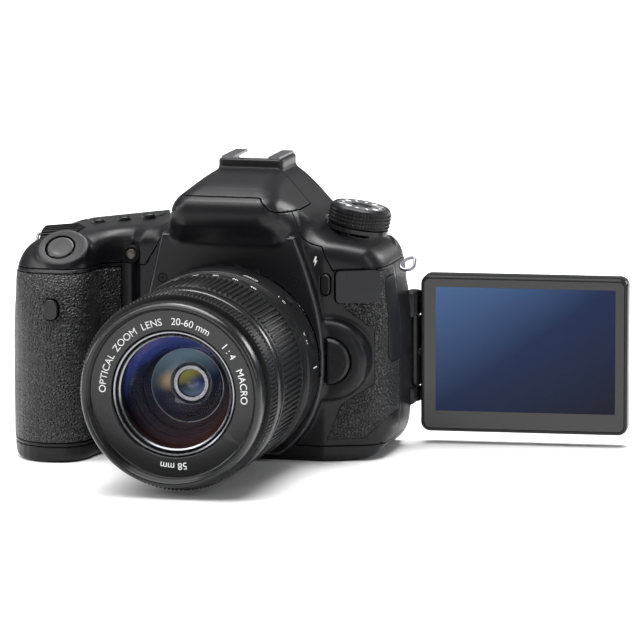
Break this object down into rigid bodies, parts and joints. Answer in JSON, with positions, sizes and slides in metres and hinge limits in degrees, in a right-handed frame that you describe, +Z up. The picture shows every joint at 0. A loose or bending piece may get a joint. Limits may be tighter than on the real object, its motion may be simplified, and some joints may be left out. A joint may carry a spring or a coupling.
{
  "type": "single-lens reflex camera",
  "caption": "Digital single-lens reflex camera with a standard zoom lens, a deep rubber grip, a pop-up flash and a screen that swings out and turns.",
  "frame": {"origin": "on the base plane, under the lens axis, at the focal plane", "axes": "+Z up, -Y along the lens axis towards the subject, +X towards the hinged screen"},
  "size_m": [0.2108, 0.138, 0.1025],
  "materials": {
    "body_plastic": "satin black moulding with a fine spark-eroded grain",
    "control_plastic": "black, slightly glossier than the covers",
    "lens_plastic": "fine satin black",
    "inner_plastic": "flat black",
    "gloss_plastic": "polished black",
    "leatherette": "pebbled leatherette",
    "soft_rubber": "smooth matt rubber",
    "ribbed_rubber": "ribbed satin rubber",
    "grey_metal": "satin grey paint",
    "bright_steel": "brushed",
    "mirror": "front-silvered",
    "sensor_glass": "filtered",
    "optical_glass": "polished",
    "coated_glass": "multi-coated",
    "flash_glass": "prismatic",
    "screen_glass": "glossy display cover",
    "lcd_window": "clear cover over a grey display",
    "lamp_lens": "smoked",
    "circuit_board": "solder mask"
  },
  "bodies": {
    "camera": {"front_cover": "body_plastic", "rear_cover": "body_plastic", "top_cover": "body_plastic", "base_cover": "body_plastic", "grip_rubber": "leatherette", "side_rubber": "leatherette", "mirror_box": "inner_plastic", "lens_mount_ring": "bright_steel", "shutter_unit": "grey_metal", "image_sensor": "sensor_glass", "pentaprism": "optical_glass", "eyepiece_lens": "optical_glass", "eyecup": "soft_rubber", "hot_shoe": "bright_steel", "top_lcd_window": "lcd_window", "main_board": "circuit_board", "battery_pack": "inner_plastic", "strap_lug_screen_side": "bright_steel", "strap_lug_grip_side": "bright_steel", "tripod_socket": "bright_steel", "badge_plate": "grey_metal", "remote_sensor_window": "gloss_plastic", "timer_lamp": "lamp_lens"},
    "flash": {"flash_head": "body_plastic", "flash_window": "flash_glass"},
    "mode_dial": {"mode_dial": "control_plastic"},
    "mode_dial_lock": {"mode_dial_button": "control_plastic"},
    "power_lever": {"power_lever": "control_plastic"},
    "main_dial": {"main_dial": "control_plastic"},
    "shutter_button": {"shutter_button": "gloss_plastic"},
    "autofocus_mode_button": {"autofocus_mode_button": "gloss_plastic"},
    "drive_mode_button": {"drive_mode_button": "gloss_plastic"},
    "iso_button": {"iso_button": "gloss_plastic"},
    "release_button": {"release_button": "control_plastic"},
    "preview_button": {"preview_button": "control_plastic"},
    "flash_button": {"flash_button": "control_plastic"},
    "quick_control_dial": {"quick_control_dial": "control_plastic"},
    "set_button": {"set_button": "control_plastic"},
    "multi_controller": {"multi_controller": "control_plastic"},
    "lock_slider": {"lock_slider": "control_plastic"},
    "start_stop_button": {"start_stop_button": "control_plastic"},
    "live_view_lever": {"live_view_lever": "control_plastic"},
    "focus_start_button": {"focus_start_button": "control_plastic"},
    "menu_button": {"menu_button": "control_plastic"},
    "info_button": {"info_button": "control_plastic"},
    "battery_door": {"battery_door": "body_plastic"},
    "card_door": {"card_door": "body_plastic"},
    "port_cover": {"port_cover": "soft_rubber"},
    "screen_arm": {"screen_arm": "body_plastic"},
    "screen": {"screen_housing": "body_plastic", "screen_glass": "screen_glass"},
    "lens": {"lens_barrel": "lens_plastic", "lens_mount": "bright_steel"},
    "zoom_ring": {"zoom_ring": "ribbed_rubber"},
    "inner_barrel": {"inner_barrel": "lens_plastic", "front_element": "coated_glass"},
    "focus_ring": {"focus_ring": "ribbed_rubber"},
    "stabilizer_switch": {"stabilizer_switch": "lens_plastic"},
    "focus_mode_switch": {"focus_mode_switch": "lens_plastic"},
    "reflex_mirror": {"reflex_mirror": "mirror"}
  },
  "joints": [
    {"name": "flash_rise", "type": "hinge", "parent": "camera", "child": "flash", "pos_m": [0, -0.0155, 0.1], "axis": [-1, 0, 0], "range_deg": [0, 70]},
    {"name": "mode_dial_turn", "type": "hinge", "parent": "camera", "child": "mode_dial", "pos_m": [0.0382, -0.011, 0.0776], "axis": [0.1736, 0, 0.9848], "continuous": true},
    {"name": "mode_dial_unlock", "type": "slide", "parent": "mode_dial", "child": "mode_dial_lock", "axis": [-0.1736, 0, -0.9848], "range_m": [0, 0.0008], "stiffness_N_per_m": 400},
    {"name": "power_switch", "type": "hinge", "parent": "camera", "child": "power_lever", "pos_m": [0.0382, -0.011, 0.0776], "axis": [0.1736, 0, 0.9848], "range_deg": [-45, 0]},
    {"name": "main_dial_turn", "type": "hinge", "parent": "camera", "child": "main_dial", "pos_m": [-0.0625, -0.031, 0.0698], "axis": [0.9945, 0, 0.1045], "continuous": true},
    {"name": "shutter_press", "type": "slide", "parent": "camera", "child": "shutter_button", "axis": [0, 0.6561, -0.7547], "range_m": [0, 0.0008], "stiffness_N_per_m": 400},
    {"name": "autofocus_mode_press", "type": "slide", "parent": "camera", "child": "autofocus_mode_button", "axis": [0, 0, -1], "range_m": [0, 0.0008], "stiffness_N_per_m": 400},
    {"name": "drive_mode_press", "type": "slide", "parent": "camera", "child": "drive_mode_button", "axis": [0, 0, -1], "range_m": [0, 0.0008], "stiffness_N_per_m": 400},
    {"name": "iso_press", "type": "slide", "parent": "camera", "child": "iso_button", "axis": [0, 0, -1], "range_m": [0, 0.0008], "stiffness_N_per_m": 400},
    {"name": "release_press", "type": "slide", "parent": "camera", "child": "release_button", "axis": [0, 1, 0], "range_m": [0, 0.0015], "stiffness_N_per_m": 600},
    {"name": "preview_press", "type": "slide", "parent": "camera", "child": "preview_button", "axis": [0, 1, 0], "range_m": [0, 0.0008], "stiffness_N_per_m": 400},
    {"name": "flash_button_press", "type": "slide", "parent": "camera", "child": "flash_button", "axis": [0, 1, 0], "range_m": [0, 0.0008], "stiffness_N_per_m": 400},
    {"name": "quick_control_turn", "type": "hinge", "parent": "camera", "child": "quick_control_dial", "pos_m": [-0.045, 0.0114, 0.031], "axis": [0, 1, 0], "continuous": true},
    {"name": "set_press", "type": "slide", "parent": "camera", "child": "set_button", "axis": [0, -1, 0], "range_m": [0, 0.0008], "stiffness_N_per_m": 400},
    {"name": "multi_controller_tilt", "type": "hinge", "parent": "camera", "child": "multi_controller", "pos_m": [-0.045, 0.0125, 0.031], "axis": [1, 0, 0], "range_deg": [-3, 3], "stiffness_Nm_per_rad": 0.3},
    {"name": "lock_slide", "type": "slide", "parent": "camera", "child": "lock_slider", "axis": [1, 0, 0], "range_m": [0, 0.005]},
    {"name": "start_stop_press", "type": "slide", "parent": "camera", "child": "start_stop_button", "axis": [0, -1, 0], "range_m": [0, 0.0008], "stiffness_N_per_m": 400},
    {"name": "live_view_turn", "type": "hinge", "parent": "camera", "child": "live_view_lever", "pos_m": [-0.0315, 0.0122, 0.0585], "axis": [0, 1, 0], "range_deg": [0, 40]},
    {"name": "focus_start_press", "type": "slide", "parent": "camera", "child": "focus_start_button", "axis": [0, -1, 0], "range_m": [0, 0.0008], "stiffness_N_per_m": 400},
    {"name": "menu_press", "type": "slide", "parent": "camera", "child": "menu_button", "axis": [0, -1, 0], "range_m": [0, 0.0008], "stiffness_N_per_m": 400},
    {"name": "info_press", "type": "slide", "parent": "camera", "child": "info_button", "axis": [0, -1, 0], "range_m": [0, 0.0008], "stiffness_N_per_m": 400},
    {"name": "battery_door_hinge", "type": "hinge", "parent": "camera", "child": "battery_door", "pos_m": [-0.0515, -0.03, 0.0003], "axis": [0, -1, 0], "range_deg": [0, 95]},
    {"name": "card_door_hinge", "type": "hinge", "parent": "camera", "child": "card_door", "pos_m": [-0.0709, 0.003, 0.039], "axis": [0, 0, -1], "range_deg": [0, 95]},
    {"name": "port_cover_hinge", "type": "hinge", "parent": "camera", "child": "port_cover", "pos_m": [0.0545, -0.0156, 0.0487], "axis": [0, 0, 1], "range_deg": [0, 100]},
    {"name": "screen_swing", "type": "hinge", "parent": "camera", "child": "screen_arm", "pos_m": [0.054, 0.009, 0.0323], "axis": [0, 0, 1], "range_deg": [0, 175]},
    {"name": "screen_tilt", "type": "hinge", "parent": "screen_arm", "child": "screen", "pos_m": [0.054, 0.009, 0.0323], "axis": [0.9962, 0.0872, 0], "range_deg": [-270, 0]},
    {"name": "lens_release", "type": "slide", "parent": "camera", "child": "lens", "axis": [0, -1, 0], "range_m": [0, 0.04]},
    {"name": "zoom_turn", "type": "hinge", "parent": "lens", "child": "zoom_ring", "pos_m": [0, -0.077, 0.0353], "axis": [0, -1, 0], "range_deg": [0, 60]},
    {"name": "barrel_extend", "type": "slide", "parent": "lens", "child": "inner_barrel", "axis": [0, -1, 0], "range_m": [0, 0.012]},
    {"name": "focus_turn", "type": "hinge", "parent": "inner_barrel", "child": "focus_ring", "pos_m": [0, -0.104, 0.0353], "axis": [0, -1, 0], "continuous": true},
    {"name": "stabilizer_slide", "type": "slide", "parent": "lens", "child": "stabilizer_switch", "axis": [-0.7193, 0, 0.6947], "range_m": [0, 0.0024]},
    {"name": "focus_mode_slide", "type": "slide", "parent": "lens", "child": "focus_mode_switch", "axis": [-0.342, 0, 0.9397], "range_m": [0, 0.0024]},
    {"name": "mirror_flip", "type": "hinge", "parent": "camera", "child": "reflex_mirror", "pos_m": [0, -0.013, 0.0473], "axis": [-1, 0, 0], "range_deg": [0, 45]}
  ],
  "couplings": [
    {"joint": "barrel_extend", "follows": "zoom_turn", "m_per_rad": 0.011459}
  ]
}
